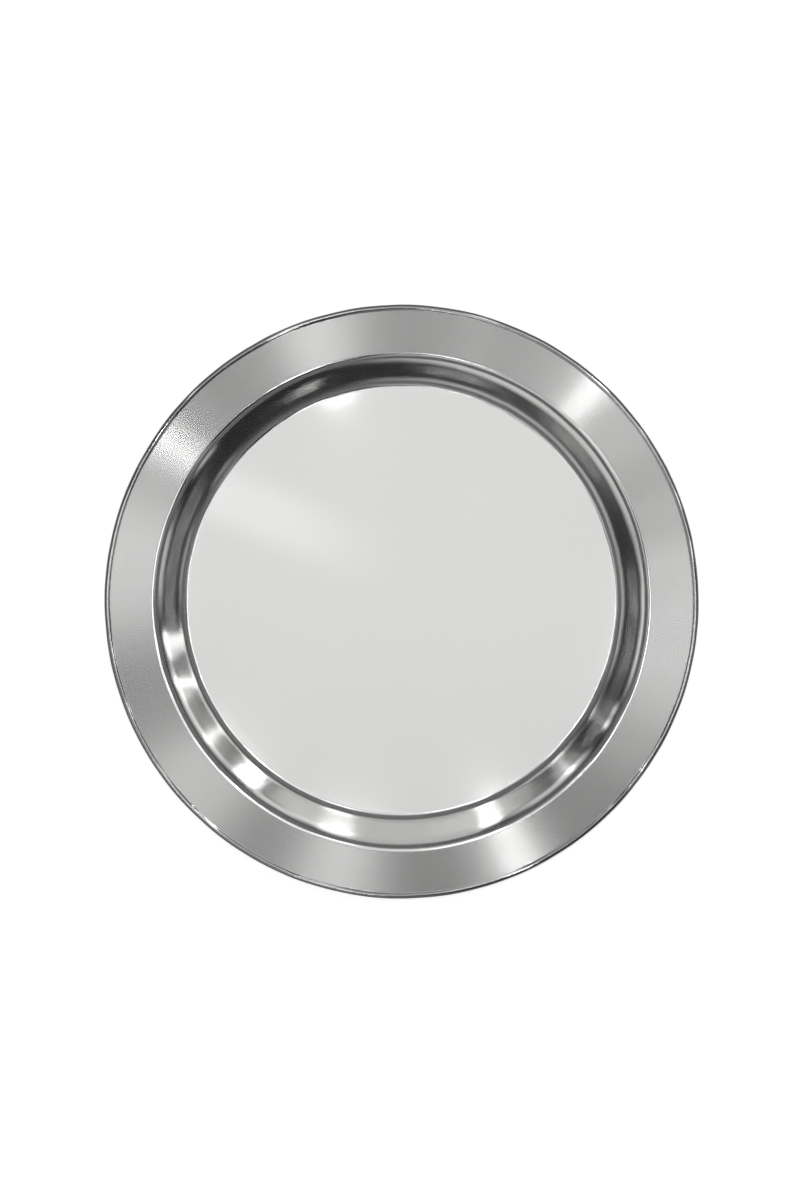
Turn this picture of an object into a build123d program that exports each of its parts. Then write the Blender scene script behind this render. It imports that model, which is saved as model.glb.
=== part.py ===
from build123d import *

import os
from math import asin, cos, degrees, radians, sin, sqrt, tan

# A 12 in church offering plate, in millimetres. The plate is spun in one piece from stainless
# steel sheet, and its edge is rolled round a wire. A foot ring is welded under the floor, and a
# felt disc is glued inside the ring. +Z is up on the plate's axis; z = 0 is the felt's underside.

# The plate as a whole
OUTER_DIAMETER = 305.0  # over the rolled edge
WELL_DEPTH = 45.0  # from the well's floor up to the inner edge of the rim
SHEET = 0.9  # thickness of the steel

# The rim
RIM_WIDTH = 24.1  # from the edge in to where the shoulder starts to bend down
RIM_SLOPE = 1.0  # degrees that the rim rises towards its edge

# The well's wall. A tight bend leaves the rim and another leaves the floor, each runs into a
# gentle one, and between those the wall is straight. Slopes are degrees from level.
WALL_SLOPE = 78.5
SHOULDER_RADIUS = 3.7  # tight bend at the rim
SHOULDER_SLOPE = 70.0  # where it runs into the gentle one
UPPER_RADIUS = 70.0  # gentle bend under the shoulder
COVE_RADIUS = 2.9  # tight bend at the floor
COVE_SLOPE = 70.0
LOWER_RADIUS = 40.0  # gentle bend above the cove

# The rolled edge
WIRE_DIAMETER = 1.4
WIRE_CLEARANCE = 0.1  # between the wire and the sheet, all round
WIRE_GAP = 1.5  # left between the wire's two ends
EDGE_PROUD = 0.5  # height of the rolled edge's crest above the rim
CREASE_RADIUS = 0.75  # hollow where the rim turns up into the rolled edge
CURL_OPENING = 0.4  # left between the sheet's cut edge and the rim's underside

# The foot ring
FOOT_INSET = 3.5  # from the edge of the flat floor in to the ring
FOOT_WIDTH = 4.0
FOOT_ROUNDING = 0.8  # on the ring's two lower edges

# The felt
FELT_THICKNESS = 2.5
FELT_PROUD = 0.5  # how far the felt stands below the foot ring
FELT_CLEARANCE = 0.3  # between the felt's edge and the foot ring


def bend_run(radius, slope_in, slope_out):
    """How far a bend goes outwards between two slopes."""
    return radius * abs(sin(radians(slope_out)) - sin(radians(slope_in)))


def bend_rise(radius, slope_in, slope_out):
    """How far a bend goes upwards between two slopes."""
    return radius * abs(cos(radians(slope_out)) - cos(radians(slope_in)))


# Heights
floor_underside = FELT_THICKNESS
floor_top = floor_underside + SHEET
rim_height = floor_top + WELL_DEPTH

# The wall's four bends, each as a radius and the slopes at its lower and upper ends
bends = (
    (COVE_RADIUS, 0, COVE_SLOPE),
    (LOWER_RADIUS, COVE_SLOPE, WALL_SLOPE),
    (UPPER_RADIUS, WALL_SLOPE, SHOULDER_SLOPE),
    (SHOULDER_RADIUS, SHOULDER_SLOPE, RIM_SLOPE),
)
straight_rise = WELL_DEPTH - sum(bend_rise(*bend) for bend in bends)
straight_wall = straight_rise / sin(radians(WALL_SLOPE))
straight_run = straight_rise / tan(radians(WALL_SLOPE))
rim_start = OUTER_DIAMETER / 2 - RIM_WIDTH
flat_floor = rim_start - straight_run - sum(bend_run(*bend) for bend in bends)

# The rolled edge is a circle that meets the crease's circle from below. Its centre is this far
# along the rim from where the rim's straight part ends, and this far above the rim's surface.
edge_radius = WIRE_DIAMETER / 2 + WIRE_CLEARANCE + SHEET
centre_above = EDGE_PROUD - edge_radius
centre_along = sqrt((CREASE_RADIUS + edge_radius) ** 2 - (CREASE_RADIUS - centre_above) ** 2)
turn_up = degrees(asin(centre_along / (CREASE_RADIUS + edge_radius)))
tip_below_centre = degrees(asin((centre_above + SHEET + CURL_OPENING) / edge_radius))
curl_round = 270 + turn_up - tip_below_centre

# The same centre as a radius and a height, and the end of the rim's straight part
slope = radians(RIM_SLOPE)
edge_centre = OUTER_DIAMETER / 2 - edge_radius
rim_end = edge_centre - centre_along * cos(slope) + centre_above * sin(slope)
straight_rim = (rim_end - rim_start) / cos(slope)
rim_end_height = rim_height + straight_rim * sin(slope)
edge_centre_height = rim_end_height + centre_along * sin(slope) + centre_above * cos(slope)

# The foot ring and the felt inside it
foot_height = FELT_THICKNESS - FELT_PROUD
foot_outer = flat_floor - FOOT_INSET
foot_inner = foot_outer - FOOT_WIDTH
felt_radius = foot_inner - FELT_CLEARANCE


def plate_shell():
    """The spun sheet. Its floor, wall and rim are drawn first, then the curl of its edge."""
    curl_start = 90 + turn_up + RIM_SLOPE
    with BuildPart() as shell:
        with BuildSketch(Plane.XZ):
            with BuildLine():
                floor = Line((0, floor_top), (flat_floor, floor_top))
                lower = floor
                for radius, slope_in, slope_out in bends[:2]:
                    lower = JernArc(lower @ 1, lower % 1, radius, slope_out - slope_in)
                upper = Line(lower @ 1, lower @ 1 + straight_wall * (lower % 1))
                for radius, slope_in, slope_out in bends[2:]:
                    upper = JernArc(upper @ 1, upper % 1, radius, slope_out - slope_in)
                rim = Line(upper @ 1, (rim_end, rim_end_height))
                JernArc(rim @ 1, rim % 1, CREASE_RADIUS, turn_up)
                offset(amount=SHEET, side=Side.RIGHT)
            make_face()
            with BuildLine(Location((edge_centre, edge_centre_height))):
                outside = CenterArc((0, 0), edge_radius, curl_start, -curl_round)
                inside = CenterArc((0, 0), edge_radius - SHEET, curl_start, -curl_round)
                Line(outside @ 0, inside @ 0)
                Line(outside @ 1, inside @ 1)
            make_face()
        revolve(axis=Axis.Z)
    return shell.part


def edge_wire():
    """The steel wire inside the rolled edge, bent to a ring whose two ends nearly meet."""
    gap_angle = degrees(WIRE_GAP / edge_centre)
    with BuildPart() as wire:
        with BuildSketch(Plane.XZ):
            with Locations((edge_centre, edge_centre_height)):
                Circle(WIRE_DIAMETER / 2)
        revolve(axis=Axis.Z, revolution_arc=360 - gap_angle)
    return wire.part


def foot_ring():
    """The low flat ring welded under the floor, with its lower edges rounded."""
    with BuildPart() as ring:
        with BuildSketch(Plane.XZ) as section:
            with Locations((foot_inner + FOOT_WIDTH / 2, floor_underside - foot_height / 2)):
                Rectangle(FOOT_WIDTH, foot_height)
            fillet(section.vertices().group_by(Axis.Y)[0], FOOT_ROUNDING)
        revolve(axis=Axis.Z)
    return ring.part


def base_felt():
    """The felt disc glued to the floor's underside, which the plate stands on."""
    with BuildPart() as felt:
        Cylinder(felt_radius, FELT_THICKNESS, align=(Align.CENTER, Align.CENTER, Align.MIN))
    return felt.part


os.makedirs("parts", exist_ok=True)
for make_piece in (plate_shell, edge_wire, foot_ring, base_felt):
    export_step(make_piece(), f"parts/{make_piece.__name__}.step")
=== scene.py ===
from math import asin, cos, degrees, pi, radians, sin, sqrt, tan

import bpy
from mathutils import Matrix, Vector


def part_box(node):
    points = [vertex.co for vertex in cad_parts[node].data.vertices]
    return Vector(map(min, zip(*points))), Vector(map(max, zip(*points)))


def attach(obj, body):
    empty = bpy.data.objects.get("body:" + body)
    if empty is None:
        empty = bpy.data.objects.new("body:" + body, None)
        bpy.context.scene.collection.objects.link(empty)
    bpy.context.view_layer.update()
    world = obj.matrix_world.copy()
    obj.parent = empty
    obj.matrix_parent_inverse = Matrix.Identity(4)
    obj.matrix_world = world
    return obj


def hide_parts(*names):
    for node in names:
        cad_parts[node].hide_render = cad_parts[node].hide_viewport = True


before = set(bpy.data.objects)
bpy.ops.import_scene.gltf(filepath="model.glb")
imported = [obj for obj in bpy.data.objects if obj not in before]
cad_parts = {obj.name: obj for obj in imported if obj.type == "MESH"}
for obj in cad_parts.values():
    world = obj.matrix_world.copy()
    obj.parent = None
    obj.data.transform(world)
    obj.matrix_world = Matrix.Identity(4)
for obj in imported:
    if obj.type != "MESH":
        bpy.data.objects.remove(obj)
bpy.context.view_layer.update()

# A spun stainless steel offering plate. Lengths named here are in millimetres, and MM turns
# them to metres.
MM = 0.001

# The sheet, the rim and the well, as they are spun. Slopes are degrees from level. The wall
# has a tight and a gentle bend at each end.
SHEET = 0.9
RIM_WIDTH = 24.1
RIM_SLOPE = 1.0
WELL_DEPTH = 45.0
WALL_SLOPE = 78.5
SHOULDER_RADIUS = 3.7
SHOULDER_SLOPE = 70.0
UPPER_RADIUS = 70.0
COVE_RADIUS = 2.9
COVE_SLOPE = 70.0
LOWER_RADIUS = 40.0

# The edge, rolled round its wire
EDGE_RADIUS = 1.7
EDGE_PROUD = 0.5  # height of the rolled edge's crest above the rim
CREASE_RADIUS = 0.75
CURL_OPENING = 0.4

FELT_ROLL = 0.6  # radius of the felt's lower edge

# The mesh
SEGMENTS = 512  # round the plate
FELT_SEGMENTS = 192
HOLD = 0.15  # a ring of points this close to each end of a straight run keeps it straight
HAND_WAVE = 0.13  # how far the spun metal strays from true, either way
WAVES_PER_METRE = 45.0
WAVE_SEED = 3.0
MERGE_DISTANCE = 0.002  # closes the poles and the seams between finishes

# A noise keeps almost wholly between these two values
NOISE_LOW = 0.3
NOISE_HIGH = 0.7

# Felt, as noise cells to the metre. Real fibres are some 0.02 mm thick and would be lost in the
# picture, so these lumps are drawn coarser, a little over 1 mm across.
FIBRES_PER_METRE = 900.0
FELT_PATCHES_PER_METRE = 60.0
FELT_RELIEF = 0.25

# The stage. Glows are radiance, where 1 is the picture's white.
TABLE_REACH = 6.0  # metres from the plate's axis
TABLE_DROP = 0.1  # keeps the table top off the felt's underside
TABLE_GLOW = 0.69  # lifts the table to near white for the camera
TABLE_FILL = 0.08  # the light it gives the plate
LAMP_FEATHER = 0.4  # share of a lamp's width over which each edge of it fades
# How bright the room is at the sine of each height above the horizon: dim, with a light band
# that the plate shows when it is seen from one side
ROOM_GLOW = [(0.0, 0.12), (0.34, 0.14), (0.43, 0.38), (0.51, 0.38), (0.58, 0.03)]

# The camera. Lengths in metres.
CAMERA_DISTANCE = 1.40  # above the rim
CAMERA_LEAN = 1.5  # degrees off the plate's axis, to the +Y side
CAMERA_SHIFT = (-0.0008, 0.0013)
SENSOR_WIDTH = 36.0  # mm of film
PICTURE_SHAPE = 1200 / 800  # height for width
PLATE_SHARE = 0.744  # of the picture's width

OUTER_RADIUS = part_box("plate_shell")[1].x / MM
FLOOR_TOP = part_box("plate_shell")[0].z / MM + SHEET
FELT_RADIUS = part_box("base_felt")[1].x / MM
FELT_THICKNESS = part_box("base_felt")[1].z / MM


# ---------------------------------------------------------------- nodes and colours


def linear(colour):
    """A hex sRGB colour as the linear RGBA that a shader takes."""
    channels = [int(colour[i : i + 2], 16) / 255 for i in (1, 3, 5)]
    return [c / 12.92 if c < 0.04045 else ((c + 0.055) / 1.055) ** 2.4 for c in channels] + [1.0]


def add(tree, kind, inputs=None, **settings):
    """Adds a node with its settings. An input takes a plain value, or a socket to link from."""
    node = tree.nodes.new(kind)
    for name, value in settings.items():
        setattr(node, name, value)
    for name, value in (inputs or {}).items():
        if isinstance(value, bpy.types.NodeSocket):
            tree.links.new(value, node.inputs[name])
        else:
            node.inputs[name].default_value = value
    return node


def set_ramp(node, stops):
    """Gives a colour ramp its stops, each a position and a linear RGBA colour."""
    elements = node.color_ramp.elements
    elements.remove(elements[1])
    elements[0].position, elements[0].color = stops[0]
    for position, colour in stops[1:]:
        elements.new(position).color = colour


def new_material(name):
    """An empty material, and its tree."""
    material = bpy.data.materials.new(name)
    material.use_nodes = True
    material.node_tree.nodes.clear()
    return material, material.node_tree


def remap(tree, value, low, high, to_low, to_high):
    """A value's own range turned into another."""
    ranges = {"From Min": low, "From Max": high, "To Min": to_low, "To Max": to_high}
    return add(tree, "ShaderNodeMapRange", {"Value": value, **ranges}).outputs[0]


def turned_coordinates(tree, line_spacing, line_length):
    """Object coordinates wound round the plate's axis, so that noise on them makes lines that
    follow the turning: line_spacing apart in mm, and about line_length degrees long."""
    place = add(tree, "ShaderNodeTexCoord").outputs["Object"]
    flat = add(tree, "ShaderNodeVectorMath", {0: place, 1: (1, 1, 0)}, operation="MULTIPLY")
    radius = add(tree, "ShaderNodeVectorMath", {0: flat.outputs[0]}, operation="LENGTH")
    way = add(tree, "ShaderNodeVectorMath", {0: flat.outputs[0]}, operation="NORMALIZE")
    around = add(
        tree,
        "ShaderNodeVectorMath",
        {0: way.outputs[0], "Scale": degrees(1) / line_length},
        operation="SCALE",
    )
    height = add(tree, "ShaderNodeSeparateXYZ", {0: place}).outputs["Z"]
    travel = add(tree, "ShaderNodeMath", {0: radius.outputs["Value"], 1: height}, operation="ADD")
    across = add(
        tree,
        "ShaderNodeMath",
        {0: travel.outputs[0], 1: 1 / (line_spacing * MM)},
        operation="MULTIPLY",
    )
    lift = add(tree, "ShaderNodeCombineXYZ", {"Z": across.outputs[0]})
    return add(
        tree, "ShaderNodeVectorMath", {0: around.outputs[0], 1: lift.outputs[0]}, operation="ADD"
    ).outputs[0]


def turned_steel(name, colour, roughness, spread, line, line_length, depth, grain, contrast):
    """Stainless steel worked while it turns. spread is its anisotropy: how much wider a
    highlight is across the lines than along them. line is the lines' spacing and depth their
    height, in mm; grain is how far the roughness strays from its usual value, and contrast how
    far the colour does. Real lines are under 0.1 mm apart, less than the picture can hold, so
    the noise draws them coarser, and the anisotropy stands for the real ones."""
    material, tree = new_material(name)
    lines = add(
        tree,
        "ShaderNodeTexNoise",
        {
            "Vector": turned_coordinates(tree, line, line_length),
            "Scale": 1.0,
            "Detail": 3.0,
            "Roughness": 0.6,
        },
    ).outputs["Fac"]
    place = add(tree, "ShaderNodeTexCoord").outputs["Object"]
    cloud = add(
        tree, "ShaderNodeTexNoise", {"Vector": place, "Scale": WAVES_PER_METRE, "Detail": 2.0}
    ).outputs["Fac"]
    mixed = add(tree, "ShaderNodeMath", {0: lines, 1: cloud}, operation="ADD").outputs[0]
    rough = remap(tree, mixed, 2 * NOISE_LOW, 2 * NOISE_HIGH, roughness - grain, roughness + grain)
    shade = remap(tree, lines, NOISE_LOW, NOISE_HIGH, 1 - contrast, 1 + contrast)
    tinted = add(
        tree, "ShaderNodeVectorMath", {0: linear(colour)[:3], "Scale": shade}, operation="SCALE"
    ).outputs[0]
    bump = add(
        tree, "ShaderNodeBump", {"Height": lines, "Distance": depth * MM, "Strength": 1.0}
    ).outputs[0]
    tangent = add(tree, "ShaderNodeTangent", direction_type="RADIAL", axis="Z").outputs[0]
    steel = add(
        tree,
        "ShaderNodeBsdfPrincipled",
        {
            "Base Color": tinted,
            "Metallic": 1.0,
            "Roughness": rough,
            "Anisotropic": spread,
            "Anisotropic Rotation": 0.25,  # a quarter turn: the spread lies across the lines
            "Tangent": tangent,
            "Normal": bump,
        },
    )
    add(tree, "ShaderNodeOutputMaterial", {"Surface": steel.outputs[0]})
    return material


def pressed_felt():
    """Pressed wool felt, dark red: short fibres lying every way, with no weave. It gives the
    eye a soft matt surface under the plate, with no highlight at all."""
    material, tree = new_material("pressed_wool_felt")
    place = add(tree, "ShaderNodeTexCoord").outputs["Object"]
    fibres = add(
        tree,
        "ShaderNodeTexNoise",
        {"Vector": place, "Scale": FIBRES_PER_METRE, "Detail": 4.0, "Distortion": 2.0},
    ).outputs["Fac"]
    patches = add(
        tree, "ShaderNodeTexNoise", {"Vector": place, "Scale": FELT_PATCHES_PER_METRE, "Detail": 3.0}
    ).outputs["Fac"]
    colour = add(tree, "ShaderNodeValToRGB", {"Fac": fibres})
    set_ramp(colour, [(0.3, linear("#2a0c10")), (0.75, linear("#5e1c24"))])
    relief = add(tree, "ShaderNodeMath", {0: fibres, 1: patches}, operation="ADD").outputs[0]
    bump = add(
        tree, "ShaderNodeBump", {"Height": relief, "Distance": FELT_RELIEF * MM, "Strength": 0.8}
    )
    felt = add(
        tree,
        "ShaderNodeBsdfPrincipled",
        {
            "Base Color": colour.outputs[0],
            "Roughness": 0.95,
            "Sheen Weight": 0.4,
            "Sheen Roughness": 0.5,
            "Specular IOR Level": 0.2,
            "Normal": bump.outputs[0],
        },
    )
    add(tree, "ShaderNodeOutputMaterial", {"Surface": felt.outputs[0]})
    return material


# ---------------------------------------------------------------- the spun plate


def walk(start, steps):
    """Follows straight runs and bends from start, and returns one list of (radius, height,
    heading) for each. A step is (length, None, points) or (bend radius, degrees, points), and
    turns to the left are positive."""
    r, z = start
    heading = 0.0
    runs = []
    for amount, turn, points in steps:
        run = [(r, z, heading)]
        for i in range(1, points + 1):
            if turn is None:
                inner = HOLD + (amount - 2 * HOLD) * (i - 1) / (points - 2)
                along = inner if i < points else amount
                run.append((r + along * cos(heading), z + along * sin(heading), heading))
            else:
                side = 1 if turn > 0 else -1
                cr, cz = r - side * amount * sin(heading), z + side * amount * cos(heading)
                h = heading + radians(turn) * i / points
                run.append((cr + side * amount * sin(h), cz - side * amount * cos(h), h))
        r, z, heading = run[-1]
        runs.append(run)
    return runs


def plate_profile():
    """The sheet's section: the upper face from the axis out to the curl's tip, in runs of one
    finish, then the lower face back to the axis."""
    slope = radians(RIM_SLOPE)
    bends = [
        # radius, slope at its lower end, slope at its upper end, points
        (COVE_RADIUS, 0, COVE_SLOPE, 9),
        (LOWER_RADIUS, COVE_SLOPE, WALL_SLOPE, 6),
        (UPPER_RADIUS, WALL_SLOPE, SHOULDER_SLOPE, 6),
        (SHOULDER_RADIUS, SHOULDER_SLOPE, RIM_SLOPE, 12),
    ]
    sines = [(radius, sin(radians(low)), sin(radians(high))) for radius, low, high, _ in bends]
    cosines = [(radius, cos(radians(low)), cos(radians(high))) for radius, low, high, _ in bends]
    rise = WELL_DEPTH - sum(radius * abs(high - low) for radius, low, high in cosines)
    bend_run = sum(radius * abs(high - low) for radius, low, high in sines)
    run = rise / tan(radians(WALL_SLOPE)) + bend_run
    rim_start = OUTER_RADIUS - RIM_WIDTH

    # where the curl's centre lies from the crease's start, and how far each bend turns
    centre_above = EDGE_PROUD - EDGE_RADIUS
    centre_along = sqrt((CREASE_RADIUS + EDGE_RADIUS) ** 2 - (CREASE_RADIUS - centre_above) ** 2)
    turn_up = degrees(asin(centre_along / (CREASE_RADIUS + EDGE_RADIUS)))
    tip_drop = degrees(asin((centre_above + SHEET + CURL_OPENING) / EDGE_RADIUS))
    rim_end = OUTER_RADIUS - EDGE_RADIUS - centre_along * cos(slope) + centre_above * sin(slope)

    cove, lower, upper, shoulder = [(radius, high - low, points) for radius, low, high, points in bends]
    floor, *wall_runs, rim, crease, curl = walk(
        (0.0, FLOOR_TOP),
        [
            (rim_start - run, None, 9),
            cove,
            lower,
            (rise / sin(radians(WALL_SLOPE)), None, 8),
            upper,
            shoulder,
            ((rim_end - rim_start) / cos(slope), None, 6),
            (CREASE_RADIUS, turn_up, 5),
            # over the crest, down the outside, and back up under the rim to the tip
            (EDGE_RADIUS, tip_drop - 270 - turn_up, 30),
        ],
    )
    wall = [point for piece in wall_runs for point in piece[1:]]
    edge = crease + curl[1:]
    above = {"floor": floor, "wall": [floor[-1]] + wall, "rim": rim, "edge": edge}
    path = floor + wall + rim[1:] + edge[1:]
    finishes = {name: [(r, z) for r, z, _ in points] for name, points in above.items()}
    below = [(r + SHEET * sin(h), z - SHEET * cos(h)) for r, z, h in reversed(path)]
    finishes["underside"] = [finishes["edge"][-1]] + below
    return finishes


def profile_curve(name, finishes):
    """One open spline for each finish. A profile's x runs outwards from the edge, and its y
    downwards, which is how Curve to Mesh lays it on a circle."""
    curve = bpy.data.curves.new(name, "CURVE")
    curve.dimensions = "3D"
    for points in finishes.values():
        spline = curve.splines.new("POLY")
        spline.points.add(len(points) - 1)
        for point, (r, z) in zip(spline.points, points):
            point.co = ((r - OUTER_RADIUS) * MM, -z * MM, 0, 1)
    piece = bpy.data.objects.new(name, curve)
    bpy.context.scene.collection.objects.link(piece)
    return piece


def spinning_tree(materials):
    """Geometry nodes that turn a profile round the axis, close its poles, bend the metal a
    little out of true as spinning leaves it, and give each of its splines a material."""
    tree = bpy.data.node_groups.new("spin_on_the_lathe", "GeometryNodeTree")
    face = tree.interface
    face.new_socket("Profile", in_out="INPUT", socket_type="NodeSocketGeometry")
    kinds = {"Edge Radius": "Float", "Segments": "Int", "Hand Wave": "Float", "Seed": "Float"}
    for name, kind in kinds.items():
        face.new_socket(name, in_out="INPUT", socket_type="NodeSocket" + kind)
    face.new_socket("Piece", in_out="OUTPUT", socket_type="NodeSocketGeometry")

    given = add(tree, "NodeGroupInput").outputs
    spline = add(tree, "GeometryNodeInputIndex").outputs[0]
    keep = add(tree, "GeometryNodeCaptureAttribute", domain="CURVE")
    keep.capture_items.new("INT", "finish")
    tree.links.new(given["Profile"], keep.inputs["Geometry"])
    tree.links.new(spline, keep.inputs["finish"])
    circle = add(
        tree,
        "GeometryNodeCurvePrimitiveCircle",
        {"Resolution": given["Segments"], "Radius": given["Edge Radius"]},
    )
    swept = add(
        tree,
        "GeometryNodeCurveToMesh",
        {"Curve": circle.outputs["Curve"], "Profile Curve": keep.outputs["Geometry"]},
    )
    joined = add(
        tree,
        "GeometryNodeMergeByDistance",
        {"Geometry": swept.outputs[0], "Distance": MERGE_DISTANCE * MM},
    )

    spot = add(tree, "GeometryNodeInputPosition").outputs[0]
    # the waves run 2.5 times as far up the wall as they do round it
    upright = add(
        tree, "ShaderNodeVectorMath", {0: spot, 1: (1, 1, 0.4)}, operation="MULTIPLY"
    ).outputs[0]
    noise = add(
        tree,
        "ShaderNodeTexNoise",
        {"Vector": upright, "W": given["Seed"], "Scale": WAVES_PER_METRE, "Detail": 1.0},
        noise_dimensions="4D",
    ).outputs["Fac"]
    inwards = add(
        tree, "ShaderNodeMath", {0: given["Hand Wave"], 1: -1.0}, operation="MULTIPLY"
    ).outputs[0]
    swing = remap(tree, noise, NOISE_LOW, NOISE_HIGH, inwards, given["Hand Wave"])
    level = add(
        tree, "ShaderNodeVectorMath", {0: spot, 1: (1, 1, 0)}, operation="MULTIPLY"
    ).outputs[0]
    outwards = add(tree, "ShaderNodeVectorMath", {0: level}, operation="NORMALIZE").outputs[0]
    shift = add(
        tree, "ShaderNodeVectorMath", {0: outwards, "Scale": swing}, operation="SCALE"
    ).outputs[0]
    strayed = add(
        tree, "GeometryNodeSetPosition", {"Geometry": joined.outputs[0], "Offset": shift}
    )

    smooth = add(tree, "GeometryNodeSetShadeSmooth", {"Geometry": strayed.outputs[0]})
    shape = add(tree, "GeometryNodeRealizeInstances", {"Geometry": smooth.outputs[0]}).outputs[0]
    for i, material in enumerate(materials):
        chosen = add(
            tree,
            "FunctionNodeCompare",
            {2: keep.outputs["finish"], 3: i},
            data_type="INT",
            operation="EQUAL",
        ).outputs[0]
        shape = add(
            tree,
            "GeometryNodeSetMaterial",
            {"Geometry": shape, "Selection": chosen, "Material": material},
        ).outputs[0]
    add(tree, "NodeGroupOutput", {"Piece": shape})
    return tree


def spin(name, finishes, materials, segments, hand_wave):
    """The finished mesh of a turned piece: its profile and the nodes are gone."""
    profile = profile_curve(name + "_profile", finishes)
    tree = spinning_tree(materials)
    lathe = profile.modifiers.new("lathe", "NODES")
    lathe.node_group = tree
    values = {
        "Edge Radius": OUTER_RADIUS * MM,
        "Segments": segments,
        "Hand Wave": hand_wave * MM,
        "Seed": WAVE_SEED,
    }
    for item in tree.interface.items_tree:
        if item.in_out == "INPUT" and item.name in values:
            lathe[item.identifier] = values[item.name]
    evaluated = profile.evaluated_get(bpy.context.evaluated_depsgraph_get())
    mesh = bpy.data.meshes.new_from_object(evaluated)
    mesh.name = name
    bpy.data.objects.remove(profile)
    piece = bpy.data.objects.new(name, mesh)
    bpy.context.scene.collection.objects.link(piece)
    return piece


def plate_finishes():
    """The plate's materials, in the order of its profile's runs."""
    # A fine polish with turning lines too faint to see: it mirrors the lamp above as one even,
    # pale field, with a soft bright spot.
    satin = turned_steel(
        "satin_stainless_floor",
        "#dededd",
        roughness=0.055,
        spread=0.5,
        line=1.2,
        line_length=60.0,
        depth=0.0001,
        grain=0.004,
        contrast=0.006,
    )
    # A mirror with a little drag along the turning: bars of light with hard ends and soft sides.
    polished = turned_steel(
        "polished_stainless",
        "#d6d6d5",
        roughness=0.14,
        spread=0.5,
        line=0.8,
        line_length=60.0,
        depth=0.008,
        grain=0.02,
        contrast=0.03,
    )
    # Brushed as it turns: every lamp opens into a fan that runs from the shoulder to the edge.
    brushed_and_shaded = turned_steel(
        "brushed_stainless_rim_painted_shade",
        # painted shade: the rim's steel gets a darker colour than the same sheet in the well, so it
        # reads dim between its fans
        "#a3a3a2",
        roughness=0.21,
        spread=1.0,
        line=0.9,
        line_length=40.0,
        depth=0.0003,
        grain=0.01,
        contrast=0.015,
    )
    # Burnished by the tool that rolls it: a thin bright line, broken a little by tool marks.
    rolled = turned_steel(
        "polished_rolled_edge_painted_shade",
        # painted shade: the rolled edge's steel gets a darker colour than the same sheet in the well,
        # so its outer flank reads dark
        "#a2a2a1",
        roughness=0.06,
        spread=0.2,
        line=2.5,
        line_length=4.0,
        depth=0.05,
        grain=0.02,
        contrast=0.03,
    )
    # Left as it came off the lathe: dull grey, with a broad soft sheen round the outer wall.
    plain = turned_steel(
        "spun_stainless_underside",
        "#bdbdbb",
        roughness=0.32,
        spread=0.8,
        line=1.1,
        line_length=60.0,
        depth=0.004,
        grain=0.05,
        contrast=0.04,
    )
    return [satin, polished, brushed_and_shaded, rolled, plain]


def dress_plate():
    """The plate itself, in place of the plain shell."""
    plate = spin("spun_plate", plate_profile(), plate_finishes(), SEGMENTS, HAND_WAVE)
    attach(plate, "root")
    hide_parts("plate_shell")


def dress_felt():
    """The felt disc, with a softened lower edge, in place of the plain one."""
    rings = 8  # of points across each flat face
    walked = walk(
        (0.0, 0.0),
        [
            (FELT_RADIUS - FELT_ROLL, None, rings),
            (FELT_ROLL, 90.0, 5),
            (FELT_THICKNESS - FELT_ROLL, None, 3),
        ],
    )
    under = [walked[0][0][:2]] + [(r, z) for run in walked for r, z, _ in run[1:]]
    top = [(FELT_RADIUS * k / rings, FELT_THICKNESS) for k in range(rings - 1, -1, -1)]
    outline = under + top
    outline.reverse()
    felt = spin("felt_base", {"felt": outline}, [pressed_felt()], FELT_SEGMENTS, 0.0)
    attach(felt, "root")
    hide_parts("base_felt")


def finish_hidden_pieces():
    """The foot ring and the wire keep their own shape and get their metal."""
    metals = {
        # Turned and left satin: a soft, even grey ring round the felt.
        "foot_ring": turned_steel(
            "turned_stainless_foot",
            "#c6c6c4",
            roughness=0.30,
            spread=0.8,
            line=0.8,
            line_length=90.0,
            depth=0.004,
            grain=0.04,
            contrast=0.04,
        ),
        # Drawn through a die: darker and duller than the sheet, streaked along its length.
        "edge_wire": turned_steel(
            "drawn_steel_wire",
            "#a3a3a1",
            roughness=0.35,
            spread=0.3,
            line=0.5,
            line_length=90.0,
            depth=0.003,
            grain=0.04,
            contrast=0.04,
        ),
    }
    for node, metal in metals.items():
        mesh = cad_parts[node].data
        mesh.materials.clear()
        mesh.materials.append(metal)


# ---------------------------------------------------------------- the stage


def pale_floor():
    """A plain, matt, pale table top that goes on well past the picture."""
    material, tree = new_material("pale_table")
    seen = add(tree, "ShaderNodeLightPath").outputs["Is Camera Ray"]
    top = add(
        tree,
        "ShaderNodeBsdfPrincipled",
        {
            "Base Color": linear("#f4f4f4"),
            "Roughness": 0.9,
            "Specular IOR Level": 0.1,
            "Emission Color": linear("#ffffff"),
            "Emission Strength": remap(tree, seen, 0.0, 1.0, TABLE_FILL, TABLE_GLOW),
        },
    )
    add(tree, "ShaderNodeOutputMaterial", {"Surface": top.outputs[0]})
    mesh = bpy.data.meshes.new("table")
    around = [(-1, -1), (1, -1), (1, 1), (-1, 1)]
    corners = [(TABLE_REACH * x, TABLE_REACH * y, -TABLE_DROP * MM) for x, y in around]
    mesh.from_pydata(corners, [], [(0, 1, 2, 3)])
    mesh.materials.append(material)
    table = bpy.data.objects.new("table", mesh)
    bpy.context.scene.collection.objects.link(table)


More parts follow.
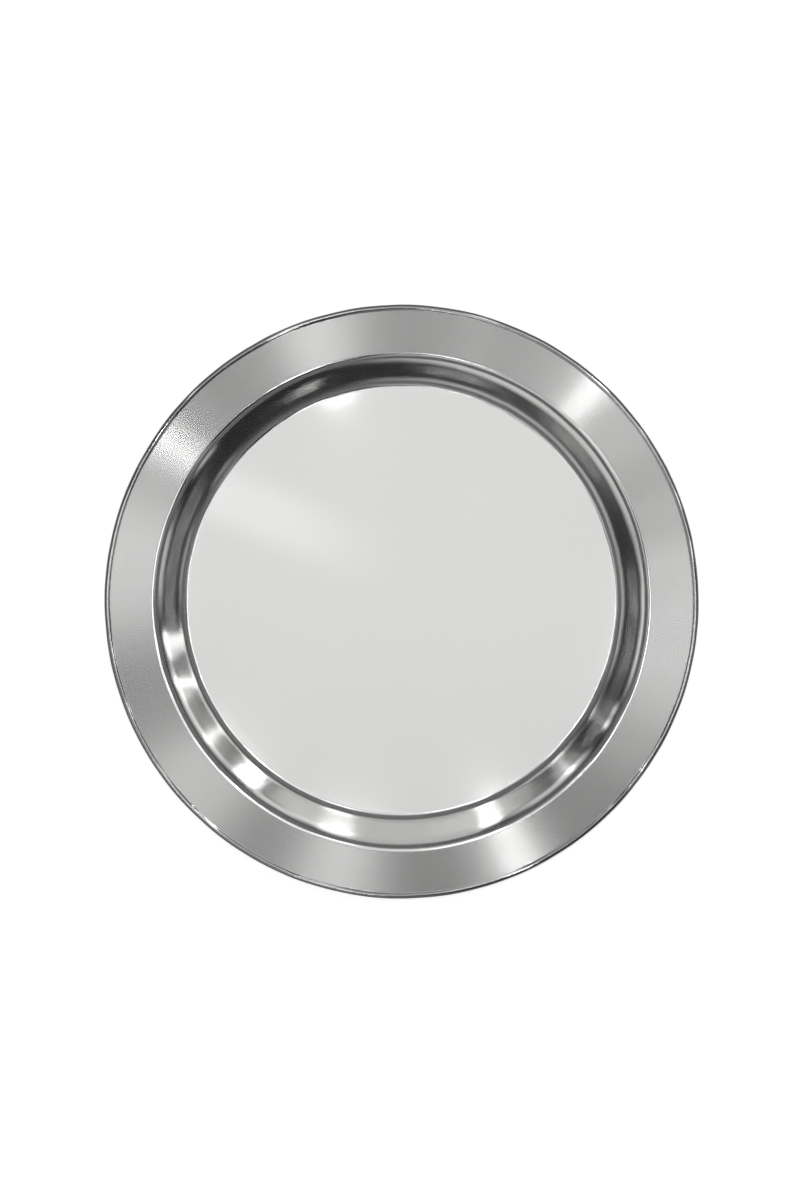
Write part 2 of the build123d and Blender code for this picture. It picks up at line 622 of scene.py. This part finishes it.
def feather(tree):
    """How bright a flat lamp is over its face: full in the middle, fading to each edge."""
    place = add(tree, "ShaderNodeNewGeometry").outputs["Parametric"]
    middle = add(
        tree, "ShaderNodeVectorMath", {0: place, 1: (0.5, 0.5, 0)}, operation="SUBTRACT"
    ).outputs[0]
    span = add(tree, "ShaderNodeSeparateXYZ", {0: middle})
    fades = []
    for axis in ("X", "Y"):
        off = add(tree, "ShaderNodeMath", {0: span.outputs[axis]}, operation="ABSOLUTE").outputs[0]
        fade = add(
            tree,
            "ShaderNodeMapRange",
            {"Value": off, "From Min": 0.5, "From Max": 0.5 - LAMP_FEATHER},
            interpolation_type="SMOOTHSTEP",
        )
        fades.append(fade.outputs[0])
    return add(tree, "ShaderNodeMath", {0: fades[0], 1: fades[1]}, operation="MULTIPLY").outputs[0]


def studio_lamp(name, azimuth, off_axis, distance, size, glow, feathered=True):
    """A flat soft lamp that faces the plate. azimuth is measured round the plate from +X,
    off_axis from straight above; size is (outwards, across) in metres; glow is its radiance."""
    data = bpy.data.lights.new(name, "AREA")
    data.shape = "RECTANGLE"
    data.size, data.size_y = size
    data.energy = glow * pi * size[0] * size[1]
    if feathered:
        data.use_nodes = True
        data.node_tree.nodes.clear()
        emission = add(data.node_tree, "ShaderNodeEmission", {"Strength": feather(data.node_tree)})
        add(data.node_tree, "ShaderNodeOutputLight", {"Surface": emission.outputs[0]})
    lamp = bpy.data.objects.new(name, data)
    a, t = radians(azimuth), radians(off_axis)
    lamp.location = (distance * sin(t) * cos(a), distance * sin(t) * sin(a), distance * cos(t))
    lamp.rotation_euler = (0, t, a)
    bpy.context.scene.collection.objects.link(lamp)


def light_studio():
    """One even lamp above the plate's +Y side, which fills the floor of the well, and a set of
    feathered ones round it. The rim shows each lamp at its own azimuth, and the wall shows it
    on the far side of the well."""
    studio_lamp("overhead", 90, 18.5, 2.5, (2.70, 1.35), 0.85, feathered=False)
    lamps = [
        # name, azimuth, off axis, distance, (outwards, across), glow
        # small and strong: the narrow fans on the rim
        ("key_right", 46, 26, 0.9, (0.20, 0.026), 52.0),
        ("key_back_left", 150, 15, 1.24, (0.12, 0.03), 60.0),
        ("key_front_left", 258, 14.5, 1.24, (0.12, 0.13), 11.0),
        ("key_front_right", 292, 14.5, 1.24, (0.12, 0.03), 58.0),
        # wider and weaker, close to the axis: the rim's broad fans
        ("soft_key", 38, 15, 1.2, (0.18, 0.38), 2.8),
        ("soft_back", 107, 16, 1.2, (0.20, 0.16), 4.0),
        ("soft_left", 176, 15, 1.2, (0.18, 0.28), 6.0),
        ("soft_front", 225, 15, 1.2, (0.18, 0.16), 4.6),
        ("soft_right", 350, 15, 1.2, (0.18, 0.38), 5.6),
        # closest to the axis: the floor's bright spot, its streak and its shading
        ("wedge", 110, 8.8, 1.5, (0.08, 0.05), 12.0),
        ("streak", 158, 8, 1.2, (0.34, 0.08), 0.15),
        ("floor_glow", 90, 3.5, 1.3, (0.75, 0.75), 0.07),
        # large and far off the axis: the wall's overall level
        ("back_right", 27, 33, 1.6, (0.50, 0.80), 1.5),
        ("back_fill_right", 57, 36, 1.6, (0.50, 0.50), 1.3),
        ("back_left", 130, 36, 1.6, (0.50, 0.62), 1.1),
        ("side_left", 176, 40, 1.6, (0.40, 0.85), 1.4),
        ("side_right", 348, 40, 1.6, (0.50, 0.60), 1.0),
        ("front_right_low", 322, 42, 1.7, (0.50, 0.22), 1.0),
        ("front_low", 232, 39, 1.9, (0.95, 3.2), 1.1),
        # upright strips: the light bars on the wall
        ("strip_7", 7, 31, 1.6, (0.50, 0.09), 5.0),
        ("strip_19", 18, 31, 1.6, (0.50, 0.065), 6.0),
        ("strip_33", 33, 31, 1.6, (0.50, 0.05), 4.5),
        ("strip_73", 73, 33, 1.6, (0.50, 0.15), 3.8),
        ("strip_113", 113, 33, 1.6, (0.50, 0.12), 4.8),
        ("strip_137", 137, 32, 1.6, (0.45, 0.06), 5.0),
        ("strip_153", 153, 33, 1.6, (0.45, 0.09), 2.6),
    ]
    for lamp in lamps:
        studio_lamp(*lamp)


def dim_room():
    """The room round the stage: dim, with one light band, and pale where the camera sees it."""
    world = bpy.data.worlds.new("dim_room")
    world.use_nodes = True
    tree = world.node_tree
    tree.nodes.clear()
    seen = add(tree, "ShaderNodeLightPath").outputs["Is Camera Ray"]
    way = add(tree, "ShaderNodeTexCoord").outputs["Generated"]
    height = add(tree, "ShaderNodeSeparateXYZ", {0: way}).outputs["Z"]
    glow = add(tree, "ShaderNodeValToRGB", {"Fac": height})
    glow.color_ramp.interpolation = "EASE"
    set_ramp(glow, [(sine, (level, level, level, 1.0)) for sine, level in ROOM_GLOW])
    white = linear("#ffffff")
    room = add(
        tree, "ShaderNodeBackground", {"Color": white, "Strength": glow.outputs["Color"]}
    ).outputs[0]
    plain = add(
        tree, "ShaderNodeBackground", {"Color": linear("#f7f7f7"), "Strength": 1.0}
    ).outputs[0]
    mixed = add(tree, "ShaderNodeMixShader", {0: seen, 1: room, 2: plain}).outputs[0]
    add(tree, "ShaderNodeOutputWorld", {"Surface": mixed})
    bpy.context.scene.world = world


def aim_camera():
    """Straight down the plate's axis, leaning a little to the +Y side, with +Y up."""
    rim_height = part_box("plate_shell")[1].z
    lean = radians(CAMERA_LEAN)
    across, along = CAMERA_SHIFT
    picture_height = PICTURE_SHAPE * 2 * OUTER_RADIUS * MM / PLATE_SHARE
    data = bpy.data.cameras.new("camera")
    data.sensor_width = SENSOR_WIDTH
    data.lens = SENSOR_WIDTH * CAMERA_DISTANCE / picture_height
    camera = bpy.data.objects.new("camera", data)
    camera.location = (
        across,
        CAMERA_DISTANCE * sin(lean) + along,
        rim_height + CAMERA_DISTANCE * cos(lean),
    )
    camera.rotation_euler = (-lean, 0, 0)
    bpy.context.scene.collection.objects.link(camera)
    bpy.context.scene.camera = camera
    bpy.context.scene.view_settings.view_transform = "Standard"


dress_plate()
dress_felt()
finish_hidden_pieces()
pale_floor()
light_studio()
dim_room()
aim_camera()
